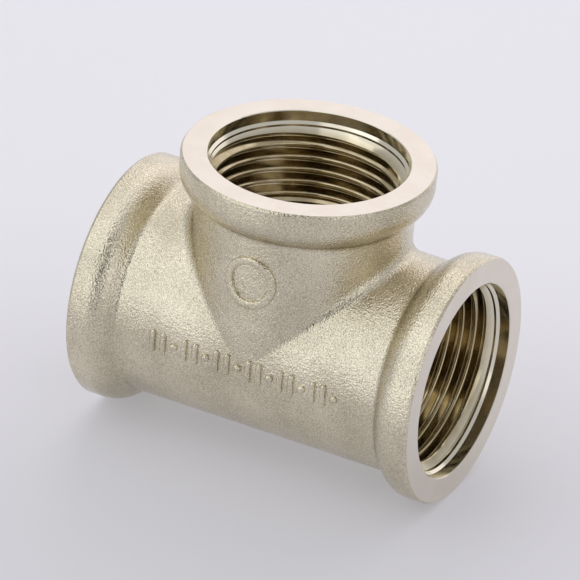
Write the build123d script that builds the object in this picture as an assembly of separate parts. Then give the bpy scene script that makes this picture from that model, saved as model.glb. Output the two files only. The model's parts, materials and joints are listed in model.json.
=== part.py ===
from build123d import *
from math import radians, sin, sqrt, tan
import os

# Equal threaded tee: one forged, blasted and machined brass body with three tapped mouths.
# The run lies along X and the branch points up. Sizes are in millimetres.
# The origin is on the surface that the tee stands on, straight below the point where the
# axes of the run and the branch cross.

# Length of the legs, from the crossing of the axes to each machined face
run_reach = 32.0
branch_reach = 32.0

# Pipe thread of size G 1: the wall is bored to the root of the thread, down to a run-out
thread_root_radius = 16.6245
thread_height = 1.479
thread_depth = 14.8

# Mouth: a plain counterbore that lets the pipe start in line
counterbore_step = 0.2255
counterbore_depth = 1.9

# Water passage that joins the three tapped mouths
waterway_radius = 13.0

# Forged outside: the neck is a wall round the thread, and the collar rises from the neck.
# The branch's neck is a little slimmer than the run's, so that it lands cleanly on it.
neck_wall = 1.7755
branch_neck_ease = 0.2
collar_rise = 2.95
collar_width = 7.55
collar_cone_angle = 50.0
collar_crown_bevel = 1.75
crotch_fillet = 1.6

# Trimmed flash under the two run collars, the lands that the tee stands on
flash_land_width = 4.2

# Length by which a cutter runs past the surface that it enters
cutter_margin = 1.0

# Share of an edge or a gap that a bevel or a fillet may take
edge_share = 0.9

counterbore_radius = thread_root_radius + counterbore_step
neck_radius = thread_root_radius + neck_wall
branch_neck_radius = neck_radius - branch_neck_ease
collar_radius = neck_radius + collar_rise

rising = (Align.CENTER, Align.CENTER, Align.MIN)
hanging = (Align.CENTER, Align.CENTER, Align.MAX)


def leg_section(neck, reach):
    """Half section of one leg outside, with its axis along Z and its collar at the top."""
    slope = radians(collar_cone_angle)
    rise = collar_radius - neck
    root_height = reach - collar_width
    shoulder_height = root_height + rise / tan(slope)
    corners = [
        (0, 0),
        (neck, 0),
        (neck, root_height),
        (collar_radius, shoulder_height),
        (collar_radius, reach),
        (0, reach),
    ]
    section = make_face(Plane.XZ * Polyline(*corners, close=True))
    shoulder = section.vertices().sort_by_distance((collar_radius, 0, shoulder_height))[0]
    shortest_edge = min(rise / sin(slope), reach - shoulder_height)
    return chamfer(shoulder, min(collar_crown_bevel, edge_share * shortest_edge))


def leg(neck, reach):
    """Outside of one leg, standing on the crossing of the axes."""
    return revolve(leg_section(neck, reach), Axis.Z)


def crotch_edges(body):
    """The curved edges where the branch's neck lands on the run's."""
    return [edge for edge in body.edges() if edge.geom_type not in (GeomType.CIRCLE, GeomType.LINE)]


def bore(radius, depth):
    """A round cutter that enters a face at the origin and goes down to a depth."""
    return Pos(0, 0, cutter_margin) * Cylinder(radius, depth + cutter_margin, align=hanging)


def run_out():
    """The cone in which the thread's grooves die out, down to the thread's crest."""
    thread_crest_radius = thread_root_radius - thread_height
    return Cone(thread_crest_radius, thread_root_radius, thread_height, align=hanging)


def mouth_cutter(reach):
    """All that machining takes out of one leg, from its mouth down to the crossing."""
    face = Pos(0, 0, reach)
    thread_end = Pos(0, 0, reach - thread_depth)
    return (
        face * bore(counterbore_radius, counterbore_depth)
        + face * bore(thread_root_radius, thread_depth)
        + thread_end * run_out()
        + Cylinder(waterway_radius, reach, align=rising)
    )


to_right = Rot(0, 90, 0)
to_left = Rot(0, -90, 0)
upwards = Location()
legs = (
    (to_right, neck_radius, run_reach),
    (to_left, neck_radius, run_reach),
    (upwards, branch_neck_radius, branch_reach),
)

forging = Part() + [place * leg(neck, reach) for place, neck, reach in legs]

# The crotch is rounded as far as the shorter neck leaves room beside it
neck_room = min(run_reach, branch_reach) - collar_width - neck_radius
crotch = min(crotch_fillet, edge_share * neck_room)
forging = fillet(crotch_edges(forging), crotch)

# The lands lie this far below the axis of the run
land_drop = sqrt(collar_radius**2 - (flash_land_width / 2) ** 2)
flash = Box(2 * run_reach + cutter_margin, 2 * collar_radius, collar_radius, align=hanging)
trimmed = forging - Pos(0, 0, -land_drop) * flash

machined = trimmed - [place * mouth_cutter(reach) for place, neck, reach in legs]
tee_body = Pos(0, 0, land_drop) * machined

os.makedirs("parts", exist_ok=True)
export_step(tee_body, "parts/tee_body.step")
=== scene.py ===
"""Looks of an equal threaded tee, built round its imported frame. Lengths are in metres."""

import json
import logging
import math
from dataclasses import dataclass, field
from enum import Enum
from functools import cache
from typing import Any, Callable, Sequence

import bmesh
import bpy
from mathutils import Matrix, Vector, noise


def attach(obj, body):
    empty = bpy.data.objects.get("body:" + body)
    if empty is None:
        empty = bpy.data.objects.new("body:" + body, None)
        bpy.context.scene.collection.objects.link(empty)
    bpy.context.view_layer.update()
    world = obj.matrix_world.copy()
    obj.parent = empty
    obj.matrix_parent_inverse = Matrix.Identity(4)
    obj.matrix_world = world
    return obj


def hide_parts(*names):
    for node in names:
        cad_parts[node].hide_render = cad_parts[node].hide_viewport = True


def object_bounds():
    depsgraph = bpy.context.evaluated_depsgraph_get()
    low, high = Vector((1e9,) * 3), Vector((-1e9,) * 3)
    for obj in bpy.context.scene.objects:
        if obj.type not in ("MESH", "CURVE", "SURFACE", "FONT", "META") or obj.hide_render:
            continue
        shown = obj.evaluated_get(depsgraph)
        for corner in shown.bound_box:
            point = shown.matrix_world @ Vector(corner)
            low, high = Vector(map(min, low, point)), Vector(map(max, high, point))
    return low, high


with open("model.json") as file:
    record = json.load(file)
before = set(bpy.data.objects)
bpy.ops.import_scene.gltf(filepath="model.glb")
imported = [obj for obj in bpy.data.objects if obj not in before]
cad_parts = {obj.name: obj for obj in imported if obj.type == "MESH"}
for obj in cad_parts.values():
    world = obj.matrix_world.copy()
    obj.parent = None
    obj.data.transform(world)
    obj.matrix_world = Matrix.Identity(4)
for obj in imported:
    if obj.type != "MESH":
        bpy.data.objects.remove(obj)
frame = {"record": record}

LOG = logging.getLogger("threaded_tee")

MM = 0.001
BODY = "root"
CAST_NODE = "tee_body"

Point = tuple[float, float]
Colour = tuple[float, float, float]

SHARP_ANGLE = math.radians(32)

cad_low, cad_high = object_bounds()


class Leg(Enum):
    """The three legs of the tee, each by the name of its mount."""

    RUN_RIGHT = "run_right_thread"
    RUN_LEFT = "run_left_thread"
    BRANCH = "branch_thread"

    @property
    def mount(self) -> dict[str, Any]:
        """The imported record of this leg's threaded mouth."""
        return next(m for m in frame["record"]["mounts"] if m["name"] == self.value)

    @property
    def placement(self) -> Matrix:
        """The matrix that stands a leg, modelled along +Z from the crossing, in its place."""
        turn = Vector((0, 0, 1)).rotation_difference(Vector(self.mount["axis"]))
        return Matrix.Translation((0, 0, AXIS_HEIGHT)) @ turn.to_matrix().to_4x4()


AXIS_HEIGHT = Leg.RUN_RIGHT.mount["pos_m"][2]
THREAD_ROOT_RADIUS = Leg.RUN_RIGHT.mount["dims"]["r_mm"] * MM
RUN_REACH = cad_high.x
BRANCH_REACH = cad_high.z - AXIS_HEIGHT


def arc_through_corner(before: Point, corner: Point, after: Point, radius: float, steps: int) -> list[Point]:
    """Rounds one corner of an outline.

    Args:
        before: The outline's point before the corner.
        corner: The corner itself.
        after: The outline's point after the corner.
        radius: The radius of the rounding, or 0 for a sharp corner.
        steps: How many chords the arc has.

    Returns:
        The points that take the corner's place, in order.
    """
    if radius == 0:
        return [corner]
    here, back, on = Vector(corner), Vector(before), Vector(after)
    to_back, to_on = (back - here).normalized(), (on - here).normalized()
    half = to_back.angle(to_on) / 2
    centre = here + (to_back + to_on).normalized() * (radius / math.sin(half))
    start = here + to_back * (radius / math.tan(half)) - centre
    end = here + to_on * (radius / math.tan(half)) - centre
    swept = start.angle_signed(end)
    turned = [Matrix.Rotation(-swept * i / steps, 2) @ start + centre for i in range(steps + 1)]
    return [(p.x, p.y) for p in turned]


@cache
def rounded_outline(corners: tuple[tuple[float, float, float], ...], steps: int) -> list[Point]:
    """Makes an open outline with rounded corners.

    Args:
        corners: The two coordinates and the rounding of each corner.
        steps: How many chords each rounding has.

    Returns:
        The outline's points from its first corner to its last.
    """
    plain = [(r, h) for r, h, _ in corners]
    outline = [plain[0]]
    for i in range(1, len(corners) - 1):
        outline += arc_through_corner(plain[i - 1], plain[i], plain[i + 1], corners[i][2], steps)
    return outline + [plain[-1]]


def add_piece(name: str, mesh: bmesh.types.BMesh, materials: Sequence[bpy.types.Material]) -> bpy.types.Object:
    """Turns a finished bmesh into a piece that rides on the tee.

    Args:
        name: The piece's name.
        mesh: The geometry, in place. It is freed.
        materials: The piece's materials, by slot.

    Returns:
        The new object, at the origin.
    """
    data = bpy.data.meshes.new(name)
    mesh.to_mesh(data)
    mesh.free()
    for material in materials:
        data.materials.append(material)
    data.shade_smooth()
    data.set_sharp_from_angle(angle=SHARP_ANGLE)
    piece = bpy.data.objects.new(name, data)
    bpy.context.scene.collection.objects.link(piece)
    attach(piece, BODY)
    LOG.info("%s: %d faces", name, len(data.polygons))
    return piece


class Finish(Enum):
    """Which finish a stretch of the tee's skin has, by its material slot."""

    BLASTED = 0
    FACED = 1
    BORED = 2


class Socket:
    """A node's output that takes part in arithmetic."""

    def __init__(self, tree: bpy.types.NodeTree, output: bpy.types.NodeSocket) -> None:
        """Wraps one output of a node tree."""
        self.tree = tree
        self.output = output

    def node(self, kind: str, settings: dict[str, Any] | None = None, **inputs: Any) -> "Socket":
        """Adds any node to the tree.

        Args:
            kind: The node's type.
            settings: Its own settings, set before its sockets.
            **inputs: The values or links of its sockets, by name with underscores for spaces.

        Returns:
            The node's first enabled output.
        """
        made = self.tree.nodes.new(kind)
        for name, value in (settings or {}).items():
            if name == "stops":
                set_stops(made.color_ramp, value)
            else:
                setattr(made, name, value)
        by_name: dict[str, bpy.types.NodeSocket] = {}
        for candidate in made.inputs:
            if candidate.enabled:
                by_name.setdefault(candidate.name.replace(" ", "_"), candidate)
        for name, value in inputs.items():
            target = made.inputs[int(name[1:])] if name[1:].isdigit() else by_name[name]
            if isinstance(value, Socket):
                self.tree.links.new(value.output, target)
            else:
                target.default_value = value
        return Socket(self.tree, next(o for o in made.outputs if o.enabled))

    def pick(self, name: str) -> "Socket":
        """Another output of the same node, by name."""
        return Socket(self.tree, self.output.node.outputs[name])

    def maths(self, operation: str, *operands: Any, clamp: bool = False) -> "Socket":
        """Adds a Math node on these operands.

        Args:
            operation: The Math node's operation.
            *operands: Numbers or sockets.
            clamp: Whether the result is held between 0 and 1.

        Returns:
            The result.
        """
        inputs = {f"_{i}": value for i, value in enumerate(operands)}
        return self.node("ShaderNodeMath", {"operation": operation, "use_clamp": clamp}, **inputs)

    def __add__(self, other: Any) -> "Socket":
        """This plus another."""
        return self.maths("ADD", self, other)

    def __sub__(self, other: Any) -> "Socket":
        """This minus another."""
        return self.maths("SUBTRACT", self, other)

    def __rsub__(self, other: Any) -> "Socket":
        """Another minus this."""
        return self.maths("SUBTRACT", other, self)

    def __mul__(self, other: Any) -> "Socket":
        """This times another."""
        return self.maths("MULTIPLY", self, other)

    __radd__ = __add__
    __rmul__ = __mul__

    def band(self, low: float, high: float, start: float = 0.0, end: float = 1.0) -> "Socket":
        """Maps a range of this value smoothly onto another range.

        Args:
            low: The value that gives start.
            high: The value that gives end.
            start: The result at and before low.
            end: The result at and past high.

        Returns:
            The mapped value, held between start and end.
        """
        settings = {"interpolation_type": "SMOOTHSTEP"}
        return self.node(
            "ShaderNodeMapRange", settings, Value=self, From_Min=low, From_Max=high, To_Min=start, To_Max=end
        )

    def blend(self, first: Any, second: Any) -> "Socket":
        """Mixes two colours by this factor.

        Args:
            first: The colour at 0.
            second: The colour at 1.

        Returns:
            The mixed colour.
        """
        made = self.tree.nodes.new("ShaderNodeMix")
        made.data_type = "RGBA"
        self.tree.links.new(self.output, made.inputs[0])
        for target, value in ((made.inputs[6], first), (made.inputs[7], second)):
            if isinstance(value, Socket):
                self.tree.links.new(value.output, target)
            else:
                target.default_value = (*value, 1.0)
        return Socket(self.tree, made.outputs[2])


def set_stops(ramp: bpy.types.ColorRamp, stops: Sequence[tuple[float, Colour]]) -> None:
    """Gives a colour ramp its stops.

    Args:
        ramp: The ramp of a fresh node, which has two stops.
        stops: Position and colour of each stop, in order.
    """
    while len(ramp.elements) < len(stops):
        ramp.elements.new(1.0)
    for element, (position, colour) in zip(ramp.elements, stops):
        element.position = position
        element.color = (*colour, 1.0)


class Shader:
    """A fresh material whose tree holds one Principled shader."""

    def __init__(self, name: str) -> None:
        """Makes the material and keeps its shader and its Object coordinates."""
        self.material = bpy.data.materials.new(name)
        self.material.use_nodes = True
        self.tree = self.material.node_tree
        self.principled = next(n for n in self.tree.nodes if n.type == "BSDF_PRINCIPLED")
        coordinates = self.tree.nodes.new("ShaderNodeTexCoord")
        self.place = Socket(self.tree, coordinates.outputs["Object"])

    def noise(self, grain: float, detail: float = 2.0, roughness: float = 0.5, place: Socket | None = None) -> Socket:
        """Soft noise over the piece.

        Args:
            grain: The size of its patches, in metres.
            detail: How many finer octaves it has.
            roughness: How strong those octaves are.
            place: Coordinates other than the piece's own.

        Returns:
            A value about 0.5.
        """
        inputs = {"Vector": place or self.place, "Scale": 1 / grain, "Detail": detail, "Roughness": roughness}
        return self.place.node("ShaderNodeTexNoise", None, **inputs)

    def bump(self, height: Socket, depth: float, below: Socket | None = None) -> Socket:
        """A bump of a real depth.

        Args:
            height: The relief, from 0 to 1.
            depth: How far 0 to 1 is, in metres.
            below: A normal that this bump is added to.

        Returns:
            The bumped normal.
        """
        inputs: dict[str, Any] = {"Height": height, "Distance": depth, "Strength": 1.0}
        if below is not None:
            inputs["Normal"] = below
        return self.place.node("ShaderNodeBump", None, **inputs)

    def veil(self, share: Socket, colour: Socket) -> None:
        """Lays a plain glow over the surface.

        Args:
            share: How much of the surface's look the glow takes, from 0 to 1.
            colour: The glow's colour.
        """
        glow = self.place.node("ShaderNodeEmission", None, Color=colour)
        surface = Socket(self.tree, self.principled.outputs["BSDF"])
        mixed = self.place.node("ShaderNodeMixShader", None, _0=share, _1=surface, _2=glow)
        output = next(n for n in self.tree.nodes if n.type == "OUTPUT_MATERIAL")
        self.tree.links.new(mixed.output, output.inputs["Surface"])

    def feed(self, **inputs: Any) -> None:
        """Sets or links the Principled shader's sockets, by name with underscores for spaces."""
        for name, value in inputs.items():
            target = self.principled.inputs[name.replace("_", " ")]
            if isinstance(value, Socket):
                self.tree.links.new(value.output, target)
            else:
                target.default_value = value


@dataclass(frozen=True)
class BlastedPlate:
    """Nickel over shot-blasted forging: a warm satin ground with lighter patches at random, and a fine bright speckle
    painted into the colour as glints.
    """

    ground: Colour = (0.51, 0.46, 0.34)
    worn: Colour = (0.83, 0.76, 0.60)
    # Size of the bright speckle that is painted into the colour as glints
    glint: float = 0.20 * MM
    grain: float = 0.32 * MM
    grain_depth: float = 0.135 * MM
    pore: float = 1.1 * MM
    pore_depth: float = 0.05 * MM
    patch: float = 9.0 * MM

    def material(self) -> bpy.types.Material:
        """Builds the material."""
        shader = Shader("blasted_nickel")
        glint = shader.noise(self.glint, detail=1.0)
        fine = shader.noise(self.grain, detail=1.5)
        coarse = shader.noise(self.pore, detail=1.0)
        patches = shader.noise(self.patch, detail=2.0)
        relief = shader.bump(coarse, self.pore_depth)
        normal = shader.bump(fine, self.grain_depth, below=relief)
        shader.feed(
            # The broad patches are the plate's own tone; the fine bright speckle is painted glints
            Base_Color=(patches * 0.3 + glint * 0.7).band(0.34, 0.66).blend(self.ground, self.worn),
            Metallic=1.0,
            Roughness=fine.band(0.3, 0.7, 0.13, 0.08),
            Normal=normal,
        )
        return shader.material


@dataclass(frozen=True)
class FacedPlate:
    """Nickel over a turned face: smooth, with a faint fine bump."""

    colour: Colour = (0.81, 0.75, 0.665)
    stained: Colour = (0.775, 0.71, 0.615)
    ring: float = 0.16 * MM
    ring_depth: float = 0.0006 * MM

    def material(self) -> bpy.types.Material:
        """Builds the material."""
        shader = Shader("faced_nickel")
        speck = shader.noise(0.8 * MM, detail=3.0)
        cloud = shader.noise(6 * MM)
        shader.feed(
            Base_Color=(speck * 0.3 + cloud * 0.7).band(0.35, 0.65).blend(self.stained, self.colour),
            Metallic=1.0,
            Roughness=speck.band(0.3, 0.7, 0.20, 0.27),
            Normal=shader.bump(speck, self.ring_depth),
        )
        return shader.material


@dataclass(frozen=True)
class BoredPlate:
    """Nickel in the bores: its own pale colour at the mouth, and darker and browner further in, which is painted shade.
    """

    pale: Colour = (0.80, 0.75, 0.62)
    # The two inner tones are painted shade, mixed at random; pale is the plate's own colour at the mouth
    colour: Colour = (0.56, 0.48, 0.32)
    deep: Colour = (0.47, 0.39, 0.235)
    # Depth over which the bore turns from pale to the painted shade inside
    thinning: tuple[float, float] = (-4.2 * MM, -2.4 * MM)
    mark_depth: float = 0.0015 * MM

    def material(self) -> bpy.types.Material:
        """Builds the material."""
        shader = Shader("bored_nickel")
        cloud = shader.noise(3.0 * MM, detail=2.0)
        speck = shader.noise(0.5 * MM, detail=3.0)
        axes = shader.place.node("ShaderNodeSeparateXYZ", None, Vector=shader.place)
        run = axes.maths("ABSOLUTE", axes.pick("X")) - RUN_REACH
        branch = axes.pick("Z") - (BRANCH_REACH + AXIS_HEIGHT)
        near_mouth = run.maths("MAXIMUM", run, branch).band(*self.thinning)
        # Painted shade inside the bore, lighter and darker at random
        inside = cloud.band(0.35, 0.65).blend(self.colour, self.deep)
        shader.feed(
            # Pale at the mouth, painted shade further in
            Base_Color=near_mouth.blend(inside, self.pale),
            Metallic=1.0,
            Roughness=cloud.band(0.3, 0.7, 0.11, 0.17),
            Normal=shader.bump(speck, self.mark_depth),
        )
        return shader.material


@dataclass
class TeeSkin:
    """The tee's whole surface as one closed mesh: forging outside, machined faces, mouths and waterway inside.

    Each half skin is a family of ribbons. A ribbon lies at one turn about the axes: it runs in
    along the run, round the crotch and out along the branch, so that the blend needs no cut.
    """

    neck_radius: float = THREAD_ROOT_RADIUS + 1.7755 * MM
    collar_rise: float = 2.95 * MM
    collar_width: float = 7.55 * MM
    collar_slope: float = math.radians(50)
    collar_crown: float = 4.8 * MM
    collar_root: float = 1.4 * MM
    crotch_fillet: float = 2.2 * MM
    edge_width: float = 0.3 * MM
    edge_depth: float = 0.45 * MM
    edge_round: float = 0.15 * MM
    mouth_break: float = 0.12 * MM
    counterbore_step: float = 0.2255 * MM
    counterbore_depth: float = 1.9 * MM
    lip_width: float = 0.45 * MM
    lip_land: float = 0.4 * MM
    thread_depth: float = 14.8 * MM
    thread_height: float = 1.479 * MM
    waterway_radius: float = 13.0 * MM
    waterway_edge: float = 0.35 * MM
    land_width: float = 4.2 * MM
    turns_per_half: int = 96
    neck_steps: int = 9
    crotch_steps: int = 10
    arc_steps: int = 9
    waviness: float = 0.05 * MM
    wave_length: float = 7.0 * MM
    edge_waviness: float = 0.08 * MM
    edge_wave_length: float = 1.4 * MM

    @property
    def collar_radius(self) -> float:
        """Radius of the collars' flanks."""
        return self.neck_radius + self.collar_rise

    @property
    def counterbore_radius(self) -> float:
        """Radius of the plain counterbores."""
        return THREAD_ROOT_RADIUS + self.counterbore_step

    def outside(self, reach: float) -> list[Point]:
        """Outline of a leg's outside, from its neck to the edge of its mouth."""
        shoulder = self.collar_rise / math.tan(self.collar_slope)
        root = reach - self.collar_width
        corners = (
            (self.neck_radius, root - self.collar_root, 0),
            (self.neck_radius, root, self.collar_root),
            (self.collar_radius, root + shoulder, self.collar_crown),
            (self.collar_radius, reach - self.edge_depth, self.edge_round),
            (self.collar_radius - self.edge_width, reach, self.edge_round),
            (self.counterbore_radius + self.mouth_break, reach, 0),
        )
        return rounded_outline(corners, self.arc_steps)

    def inside(self, reach: float) -> list[Point]:
        """Outline of a leg's bore, from the waterway to the edge of its mouth."""
        crest = THREAD_ROOT_RADIUS - self.thread_height
        bottom = reach - self.thread_depth - self.thread_height
        step = reach - self.counterbore_depth
        lip_radius = self.counterbore_radius - self.lip_width
        groove = step - self.lip_width - self.lip_land
        corners = (
            (self.waterway_radius, bottom - 2 * self.waterway_edge, 0),
            (self.waterway_radius, bottom - self.waterway_edge, 0),
            (self.waterway_radius + self.waterway_edge, bottom, 0),
            (crest, bottom, 0),
            (THREAD_ROOT_RADIUS, reach - self.thread_depth, 0),
            (THREAD_ROOT_RADIUS, groove - (THREAD_ROOT_RADIUS - lip_radius), 0),
            (lip_radius, groove, 0),
            (lip_radius, step - self.lip_width, 0),
            (self.counterbore_radius, step, 0),
            (self.counterbore_radius, reach - self.mouth_break, 0),
            (self.counterbore_radius + self.mouth_break, reach, 0),
        )
        return rounded_outline(corners, 1)

    def ribbon(self, outline: Callable[[float], list[Point]], radius: float, fillet: float, turn: float) -> list[Vector]:
        """One ribbon of a half skin.

        Args:
            outline: The outline of a leg, as a function of its reach.
            radius: Radius of the tubes that meet at the crotch.
            fillet: Radius of the rolling ball in the crotch.
            turn: The ribbon's turn about both axes, in radians. At 0 it passes over the crotch's top.

        Returns:
            The ribbon's points, from the right mouth to the branch's mouth.
        """
        side, lift = math.sin(turn), math.cos(turn)
        run = [Vector((h, r * side, r * lift)) for r, h in reversed(outline(RUN_REACH))]
        branch = [Vector((r * lift, r * side, h)) for r, h in outline(BRANCH_REACH)]
        ball = radius + fillet
        centre = Vector((ball * lift, ball * side, ball * lift))
        to_run = Vector((0, -side, -lift))
        to_branch = Vector((-lift, -side, 0))
        apart = to_run.angle(to_branch, 0.0)
        crotch = []
        for i in range(self.crotch_steps + 1):
            share = i / self.crotch_steps
            near = to_run.slerp(to_branch, share) if apart > 1e-4 else to_run
            crotch.append(centre + near * fillet)
        inwards = [run[-1].lerp(crotch[0], (i + 1) / (self.neck_steps + 1)) for i in range(self.neck_steps)]
        outwards = [crotch[-1].lerp(branch[0], (i + 1) / (self.neck_steps + 1)) for i in range(self.neck_steps)]
        return run + inwards + crotch + outwards + branch

    def keel(self, outline: Callable[[float], list[Point]], turn: float) -> list[Vector]:
        """One straight line of the skin's lower half, from the right mouth to the left mouth.

        Args:
            outline: The outline of a leg, as a function of its reach.
            turn: The line's turn about the run's axis, in radians.

        Returns:
            The line's points.
        """
        side, lift = math.sin(turn), math.cos(turn)
        right = [Vector((h, r * side, r * lift)) for r, h in reversed(outline(RUN_REACH))]
        middle = Vector((0, right[-1].y, right[-1].z))
        right += [right[-1].lerp(middle, (i + 1) / (self.neck_steps + 1)) for i in range(self.neck_steps)]
        left = [Vector((-p.x, p.y, p.z)) for p in reversed(right)]
        return right + [middle] + left

    def lay(
        self,
        skin: bmesh.types.BMesh,
        line: Callable[[float], list[Vector]],
        first: float,
        finish_at: Callable[[Vector], Finish],
    ) -> None:
        """Lays a grid of half a turn over a family of lines.

        Args:
            skin: The mesh that gets the grid.
            line: The points of a line at a turn.
            first: The turn of the first line.
            finish_at: The finish of a face, by its middle.
        """
        lines = [line(first + math.pi * i / self.turns_per_half) for i in range(self.turns_per_half + 1)]
        across = len(lines[0]) - 1
        made = bmesh.ops.create_grid(skin, x_segments=self.turns_per_half, y_segments=across, size=0.5)
        for vertex in made["verts"]:
            column = round((vertex.co.x + 0.5) * self.turns_per_half)
            row = round((vertex.co.y + 0.5) * across)
            vertex.co = lines[column][row]
        for face in {face for vertex in made["verts"] for face in vertex.link_faces}:
            face.material_index = finish_at(face.calc_center_median()).value

    def outer_finish(self, middle: Vector) -> Finish:
        """The finish of a face of the outside, by its middle."""
        near = 0.02 * MM
        on_face = abs(middle.x) > RUN_REACH - near or middle.z > BRANCH_REACH - near
        return Finish.FACED if on_face else Finish.BLASTED

    def inner_finish(self, middle: Vector) -> Finish:
        """The finish of a face of the inside."""
        return Finish.BORED

    def build(self, finishes: Sequence[bpy.types.Material]) -> bpy.types.Object:
        """Builds the skin in place of the frame's solid.

        Args:
            finishes: The materials, in the order of Finish.

        Returns:
            The finished piece.
        """
        skin = bmesh.new()
        outer = (self.outside, self.neck_radius, self.crotch_fillet, self.outer_finish)
        inner = (self.inside, self.waterway_radius, self.waterway_edge, self.inner_finish)
        for outline, radius, fillet, finish_at in (outer, inner):
            half = -math.pi / 2
            self.lay(skin, lambda turn: self.ribbon(outline, radius, fillet, turn), half, finish_at)
            flip = Matrix.Scale(-1, 3, Vector((1, 0, 0)))
            self.lay(skin, lambda turn: [flip @ p for p in self.ribbon(outline, radius, fillet, turn)], half, finish_at)
            self.lay(skin, lambda turn: self.keel(outline, turn), -half, finish_at)
        bmesh.ops.remove_doubles(skin, verts=skin.verts, dist=0.002 * MM)
        bmesh.ops.dissolve_degenerate(skin, dist=0.001 * MM, edges=skin.edges)
        bmesh.ops.recalc_face_normals(skin, faces=skin.faces)
        self.age(skin)
        self.trim_lands(skin)
        bmesh.ops.translate(skin, verts=skin.verts, vec=(0, 0, AXIS_HEIGHT))
        open_edges = sum(1 for edge in skin.edges if not edge.is_manifold)
        LOG.info("tee_skin: %d open edges, volume %.0f mm3", open_edges, skin.calc_volume() / MM**3)
        piece = add_piece("tee_skin", skin, finishes)
        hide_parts(CAST_NODE)
        return piece

    def age(self, skin: bmesh.types.BMesh) -> None:
        """Sinks the forged skin by a few hundredths here and there, and more at the faces' worn edges."""
        skin.normal_update()
        moves = {}
        for vertex in skin.verts:
            finishes = {face.material_index for face in vertex.link_faces}
            if finishes == {Finish.BLASTED.value}:
                wave = noise.noise(vertex.co / self.wave_length)
                moves[vertex] = vertex.normal * (self.waviness * (wave - 1) / 2)
            elif Finish.FACED.value in finishes and len(finishes) > 1:
                wave = noise.noise(vertex.co / self.edge_wave_length)
                axis = Vector((0, 0, 1)) if vertex.co.z > BRANCH_REACH - self.edge_depth else Vector((1, 0, 0))
                in_plane = (vertex.normal - axis * vertex.normal.dot(axis)).normalized()
                moves[vertex] = in_plane * (self.edge_waviness * (wave - 1) / 2)
        for vertex, move in moves.items():
            vertex.co += move

    def trim_lands(self, skin: bmesh.types.BMesh) -> None:
        """Flattens the lands under the run's collars, on which the tee stands."""
        for vertex in skin.verts:
            vertex.co.z = max(vertex.co.z, -AXIS_HEIGHT)


@dataclass
class ThreadRidge:
    """The helical ridge of one tapped mouth, with rounded crests and a lead chamfer."""

    leg: Leg
    reach: float
    crest_angle: float
    crest_depth: float = 3.35 * MM
    pitch: float = 2.309 * MM
    height: float = 1.479 * MM
    flank: float = math.radians(27.5)
    rounding: float = 0.317 * MM
    foot_rounding: float = 0.17 * MM
    arc_steps: int = 5
    pitch_share: float = 0.49
    embed: float = 0.06 * MM
    first_depth: float = 1.6 * MM
    last_depth: float = 17.6 * MM
    lead_depth: float = 2.75 * MM
    lead_radius: float = THREAD_ROOT_RADIUS - 0.2245 * MM
    steps_per_turn: int = 96

    def section(self) -> list[Point]:
        """Closed section of the ridge, as radius and height above the crest's middle."""
        base = THREAD_ROOT_RADIUS
        apex = base - self.height - self.rounding * (1 / math.sin(self.flank) - 1)
        half = self.pitch * self.pitch_share
        foot = min((base - apex) * math.tan(self.flank), half)
        corners = (
            (base + self.embed, -half, 0),
            (base, -half, 0),
            (base, -foot, self.foot_rounding),
            (apex, 0, self.rounding),
            (base, foot, self.foot_rounding),
            (base, half, 0),
            (base + self.embed, half, 0),
        )
        return rounded_outline(corners, self.arc_steps)

    def build(self, finish: bpy.types.Material) -> bpy.types.Object:
        """Winds the ridge and sets it in its mouth.

        Args:
            finish: The material of the bores.

        Returns:
            The finished piece.
        """
        ridge = bmesh.new()
        section = self.section()
        crests = math.ceil((self.last_depth - self.crest_depth) / self.pitch)
        start = self.reach - self.crest_depth - crests * self.pitch
        winds = crests + (self.crest_depth - self.first_depth) / self.pitch
        steps = round(winds * self.steps_per_turn)
        loop = [ridge.verts.new((r, 0, start + h)) for r, h in section]
        cap = ridge.faces.new(loop)
        bmesh.ops.spin(
            ridge,
            geom=[cap, *cap.edges, *loop],
            cent=(0, 0, 0),
            axis=(0, 0, 1),
            dvec=(0, 0, self.pitch / self.steps_per_turn),
            angle=math.tau * steps / self.steps_per_turn,
            steps=steps,
        )
        open_edges = [edge for edge in ridge.edges if edge.is_boundary]
        if open_edges:
            bmesh.ops.holes_fill(ridge, edges=open_edges)
        for vertex in ridge.verts:
            depth = self.reach - vertex.co.z
            radius = math.hypot(vertex.co.x, vertex.co.y)
            least = self.lead_radius - (depth - self.lead_depth)
            if radius < least:
                vertex.co.x *= least / radius
                vertex.co.y *= least / radius
        turn = Matrix.Rotation(self.crest_angle, 4, "Z")
        bmesh.ops.transform(ridge, matrix=self.leg.placement @ turn, verts=ridge.verts)
        bmesh.ops.recalc_face_normals(ridge, faces=ridge.faces)
        return add_piece(self.leg.value.replace("thread", "ridge"), ridge, [finish])


@dataclass(frozen=True)
class Relief:
    """How far a mark stands out of its neck, how deep it is rooted and how soft its edge is."""

    height: float = 0.5 * MM
    root: float = 0.3 * MM
    soften: float = 0.36 * MM


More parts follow.
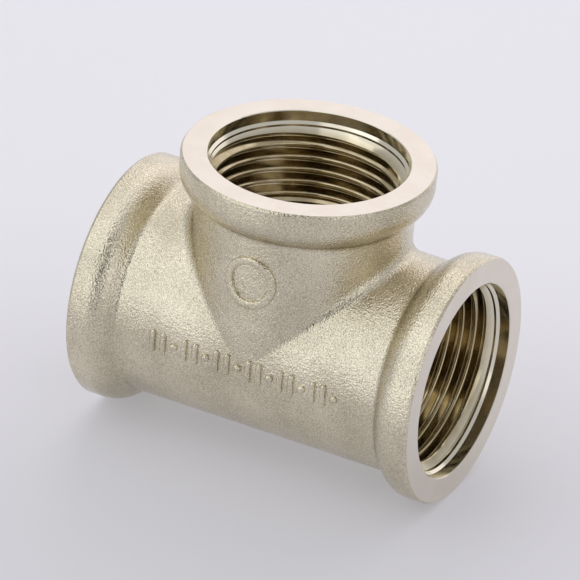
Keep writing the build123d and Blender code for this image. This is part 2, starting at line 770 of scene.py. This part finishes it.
@dataclass(frozen=True)
class Pad:
    """One raised pad with rounded ends: a bar, or a pip when it is as long as it is wide."""

    along: float
    width: float
    length: float
    around: float = 0.0

    def outline(self) -> list[Point]:
        """The pad's closed outline, unrolled."""
        wide, high = self.width / 2, self.length / 2
        corner = wide * 0.98
        corners = (
            (0.0, -high, 0),
            (wide, -high, corner),
            (wide, high, corner),
            (-wide, high, corner),
            (-wide, -high, corner),
            (0.0, -high, 0),
        )
        return [(self.along + u, self.around + v) for u, v in rounded_outline(corners, 6)[:-1]]

    def raise_in(self, marks: bmesh.types.BMesh, relief: Relief) -> None:
        """Raises the pad out of the flat.

        Args:
            marks: The mesh that gets it.
            relief: How far it stands out.
        """
        base = marks.faces.new([marks.verts.new((u, v, -relief.root)) for u, v in self.outline()])
        raised = bmesh.ops.extrude_face_region(marks, geom=[base], use_keep_orig=True)["geom"]
        top = next(item for item in raised if isinstance(item, bmesh.types.BMFace))
        bmesh.ops.translate(marks, verts=top.verts, vec=(0, 0, relief.root + relief.height))
        bmesh.ops.bevel(
            marks, geom=list(top.edges), offset=relief.soften, affect="EDGES", segments=3, profile=0.5, material=-1
        )


@dataclass(frozen=True)
class Hoop:
    """One raised plain ring."""

    along: float
    inner: float
    outer: float
    steps: int = 64

    def raise_in(self, marks: bmesh.types.BMesh, relief: Relief) -> None:
        """Raises the ring out of the flat.

        Args:
            marks: The mesh that gets it.
            relief: How far it stands out.
        """
        corners = (
            (self.inner, -relief.root, 0),
            (self.inner, relief.height, relief.soften),
            (self.outer, relief.height, relief.soften),
            (self.outer, -relief.root, 0),
        )
        loop = [marks.verts.new((self.along + r, 0, h)) for r, h in rounded_outline(corners, 4)]
        edges = [marks.edges.new(pair) for pair in zip(loop, loop[1:] + loop[:1])]
        bmesh.ops.spin(
            marks,
            geom=loop + edges,
            cent=(self.along, 0, 0),
            axis=(0, 0, 1),
            angle=math.tau,
            steps=self.steps,
            use_merge=True,
        )


@dataclass
class RaisedMarks:
    """Plain marks that stand out of a neck, in the place where the forging die has its signs."""

    name: str
    leg: Leg
    marks: tuple[Pad | Hoop, ...]
    neck_radius: float
    relief: Relief = Relief()
    slice: float = 0.5 * MM

    def build(self, finish: bpy.types.Material) -> bpy.types.Object:
        """Raises every mark and rolls the row round its neck.

        Args:
            finish: The material of the forging.

        Returns:
            The finished piece.
        """
        row = bmesh.new()
        for mark in self.marks:
            mark.raise_in(row, self.relief)
        self.roll(row)
        bmesh.ops.recalc_face_normals(row, faces=row.faces)
        return add_piece(self.name, row, [finish])

    def roll(self, row: bmesh.types.BMesh) -> None:
        """Slices the flat marks and rolls them round the neck.

        Args:
            row: The marks, with the neck's axis along X and its skin at height 0.
        """
        highest = max(vertex.co.y for vertex in row.verts)
        cut = min(vertex.co.y for vertex in row.verts) + self.slice
        while cut < highest:
            everything = [*row.verts, *row.edges, *row.faces]
            bmesh.ops.bisect_plane(row, geom=everything, plane_co=(0, cut, 0), plane_no=(0, 1, 0))
            cut += self.slice
        for vertex in row.verts:
            along, around, height = vertex.co
            turn, radius = around / self.neck_radius, self.neck_radius + height
            vertex.co = self.leg.placement @ Vector((radius * math.sin(turn), -radius * math.cos(turn), along))


@dataclass(frozen=True)
class Panel:
    """A flat panel of the set that faces the tee, placed as the tee sees it.

    Azimuth 0 is in front of the run and a positive azimuth is to its right. The glow is what
    the panel adds to the world's own light, and a panel that has none is a black flag.
    """

    name: str
    azimuth: float
    elevation: float
    width: float
    height: float
    glow: float = 0.0
    colour: Colour = (1.0, 1.0, 1.0)
    distance: float = 1.3

    def direction(self) -> Vector:
        """The direction from the tee to the panel's middle."""
        turn, lift = math.radians(self.azimuth), math.radians(self.elevation)
        return Vector((math.sin(turn) * math.cos(lift), -math.cos(turn) * math.cos(lift), math.sin(lift)))

    def size(self) -> tuple[float, float]:
        """Width and height, from the angles that the tee sees."""
        return tuple(2 * self.distance * math.tan(math.radians(angle) / 2) for angle in (self.width, self.height))

    def hang(self, aim: Vector) -> bpy.types.Object:
        """Hangs the panel in the set.

        Args:
            aim: The point that it faces.

        Returns:
            The lamp or the flag.
        """
        wide, high = self.size()
        if self.glow > 0:
            data = bpy.data.lights.new(self.name, "AREA")
            data.shape = "RECTANGLE"
            data.size, data.size_y = wide, high
            data.energy = self.glow * math.pi * wide * high
            data.color = self.colour
        else:
            flag = bmesh.new()
            bmesh.ops.create_grid(flag, x_segments=1, y_segments=1, size=0.5)
            bmesh.ops.scale(flag, vec=(wide, high, 1), verts=flag.verts)
            data = bpy.data.meshes.new(self.name)
            flag.to_mesh(data)
            flag.free()
            shader = Shader(self.name)
            shader.feed(Base_Color=(0.01, 0.01, 0.01, 1.0), Roughness=1.0)
            data.materials.append(shader.material)
        panel = bpy.data.objects.new(self.name, data)
        back = self.direction()
        across = Vector((0, 0, 1)).cross(back).normalized()
        axes = Matrix((across, back.cross(across), back)).transposed().to_4x4()
        panel.matrix_world = Matrix.Translation(aim + back * self.distance) @ axes
        panel.visible_camera = False
        bpy.context.scene.collection.objects.link(panel)
        return panel


@dataclass
class Studio:
    """Pale sweep, soft lamps and the camera."""

    target: Vector = field(default_factory=lambda: Vector((-2.347, 2.010, 26.477)) * MM)
    azimuth: float = math.radians(25.571)
    elevation: float = math.radians(28.384)
    distance: float = 920.80 * MM
    roll: float = math.radians(5.020)
    lens: float = 340.87
    sensor: float = 36.0
    # Floor colours: painted shade near the camera and painted light towards the back
    paper_near: Colour = (0.635, 0.628, 0.662)
    paper_far: Colour = (0.766, 0.759, 0.800)
    # A painted patch of light on the floor in front of the frame, for the metal to reflect
    paper_front: Colour = (1.0, 0.99, 1.0)
    paper_albedo: float = 1.24
    glow_share: float = 0.37
    near_to_far: tuple[float, float] = (-0.055, 0.09)
    front_edge: tuple[float, float] = (-0.10, -0.062)
    front_side: tuple[float, float] = (-0.045, -0.015)
    surround: Colour = (0.54, 0.54, 0.555)
    panels: tuple[Panel, ...] = (
        Panel("front_left_softbox", -28, 26, width=66, height=62, glow=0.46, colour=(0.94, 0.98, 1.0)),
        Panel("front_low_softbox", -28, 7, width=58, height=14, glow=0.35, colour=(0.94, 0.98, 1.0)),
        Panel("front_right_softbox", 58, 20, width=36, height=42, glow=0.48),
        Panel("back_softbox", 180, 32, width=62, height=62, glow=0.57, colour=(1.0, 0.93, 0.96), distance=1.6),
        Panel("top_softbox", -95, 72, width=80, height=52, glow=0.46),
        Panel("camera_flag", 18, 22, width=15, height=72, distance=1.2),
    )

    def camera(self) -> None:
        """Sets the camera where the photograph was taken from."""
        data = bpy.data.cameras.new("camera")
        data.lens = self.lens
        data.sensor_width = self.sensor
        data.clip_start, data.clip_end = 10 * MM, 20.0
        camera = bpy.data.objects.new("camera", data)
        back = Vector(
            (
                math.sin(self.azimuth) * math.cos(self.elevation),
                -math.cos(self.azimuth) * math.cos(self.elevation),
                math.sin(self.elevation),
            )
        )
        level_right = (-back).cross(Vector((0, 0, 1))).normalized()
        level_up = level_right.cross(-back)
        right = level_right * math.cos(self.roll) + level_up * math.sin(self.roll)
        up = back.cross(right)
        axes = Matrix((right, up, back)).transposed().to_4x4()
        camera.matrix_world = Matrix.Translation(self.target + back * self.distance) @ axes
        bpy.context.scene.collection.objects.link(camera)
        bpy.context.scene.camera = camera

    def floor(self) -> None:
        """Lays a wide pale floor that keeps the tee's shadow.

        Its colour is painted a little darker near the camera and brighter towards the back, as painted shade and light,
        and brighter again in front of the picture's frame on the left, as a painted patch of light that the metal
        reflects.
        A share of what the camera and the metal see of it is a plain glow, as on a light table.
        """
        ground = bmesh.new()
        bmesh.ops.create_grid(ground, x_segments=1, y_segments=1, size=3.0)
        data = bpy.data.meshes.new("floor")
        ground.to_mesh(data)
        ground.free()
        shader = Shader("floor_paper")
        turned = shader.place.node(
            "ShaderNodeMapping", {"vector_type": "TEXTURE"}, Vector=shader.place, Rotation=(0, 0, self.azimuth)
        )
        depth = shader.place.node("ShaderNodeSeparateXYZ", None, Vector=turned).pick("Y")
        # Painted light on the floor: darker near the camera, brighter towards the back
        in_frame = depth.band(*self.near_to_far).blend(self.paper_near, self.paper_far)
        across = shader.place.node("ShaderNodeSeparateXYZ", None, Vector=shader.place)
        # Where the painted patch of light lies, in front of the frame and to the left
        front_light_mask = depth.maths("MAXIMUM", depth.band(*self.front_edge), across.band(*self.front_side))
        paper_and_painted_light = front_light_mask.blend(self.paper_front, in_frame)
        albedo = paper_and_painted_light.node(
            "ShaderNodeVectorMath", {"operation": "SCALE"}, Vector=paper_and_painted_light, Scale=self.paper_albedo
        )
        path = shader.place.node("ShaderNodeLightPath")
        seen = path.pick("Is Camera Ray") + path.pick("Is Glossy Ray") + path.pick("Is Transmission Ray")
        shader.feed(Base_Color=albedo, Roughness=0.5, Specular_IOR_Level=0.4)
        shader.veil(seen * self.glow_share, paper_and_painted_light)
        data.materials.append(shader.material)
        floor = bpy.data.objects.new("floor", data)
        bpy.context.scene.collection.objects.link(floor)

    def world(self) -> None:
        """Surrounds the set with a plain soft light."""
        world = bpy.data.worlds.new("studio")
        bpy.context.scene.world = world
        world.use_nodes = True
        background = world.node_tree.nodes["Background"]
        background.inputs["Color"].default_value = (*self.surround, 1.0)
        background.inputs["Strength"].default_value = 1.0

    def build(self) -> None:
        """Builds the whole set."""
        self.camera()
        self.floor()
        for panel in self.panels:
            panel.hang(self.target)
        self.world()
        bpy.context.scene.view_settings.view_transform = "Standard"


def tally(first: float, step: float, count: int) -> tuple[Pad, ...]:
    """A row of upright bars in which every third place holds a pip.

    Args:
        first: Where the row starts along its neck.
        step: The distance between two places.
        count: How many places it has.

    Returns:
        The row's pads.
    """
    bar, pip = (1.05 * MM, 4.2 * MM), (1.4 * MM, 1.4 * MM)
    return tuple(Pad(first + i * step, *(pip if i % 3 == 2 else bar)) for i in range(count))


def main() -> None:
    """Builds the tee and its studio, piece by piece."""
    logging.basicConfig(level=logging.INFO, format="%(name)s %(message)s")
    blasted, faced, bored = BlastedPlate().material(), FacedPlate().material(), BoredPlate().material()
    skin = TeeSkin()
    skin.build([blasted, faced, bored])
    back_wall = math.radians(90 + 25.571)
    for leg, reach in ((Leg.RUN_RIGHT, RUN_REACH), (Leg.RUN_LEFT, RUN_REACH), (Leg.BRANCH, BRANCH_REACH)):
        ThreadRidge(leg, reach, crest_angle=back_wall).build(bored)
    run_row = tally(-17.0 * MM, 2.0 * MM, 18)
    RaisedMarks("run_marks", Leg.RUN_RIGHT, run_row, skin.neck_radius).build(blasted)
    hoop = Hoop(16.4 * MM, inner=3.3 * MM, outer=4.7 * MM)
    RaisedMarks("branch_mark", Leg.BRANCH, (hoop,), skin.neck_radius).build(blasted)
    Studio().build()


if __name__ == "__main__":
    main()
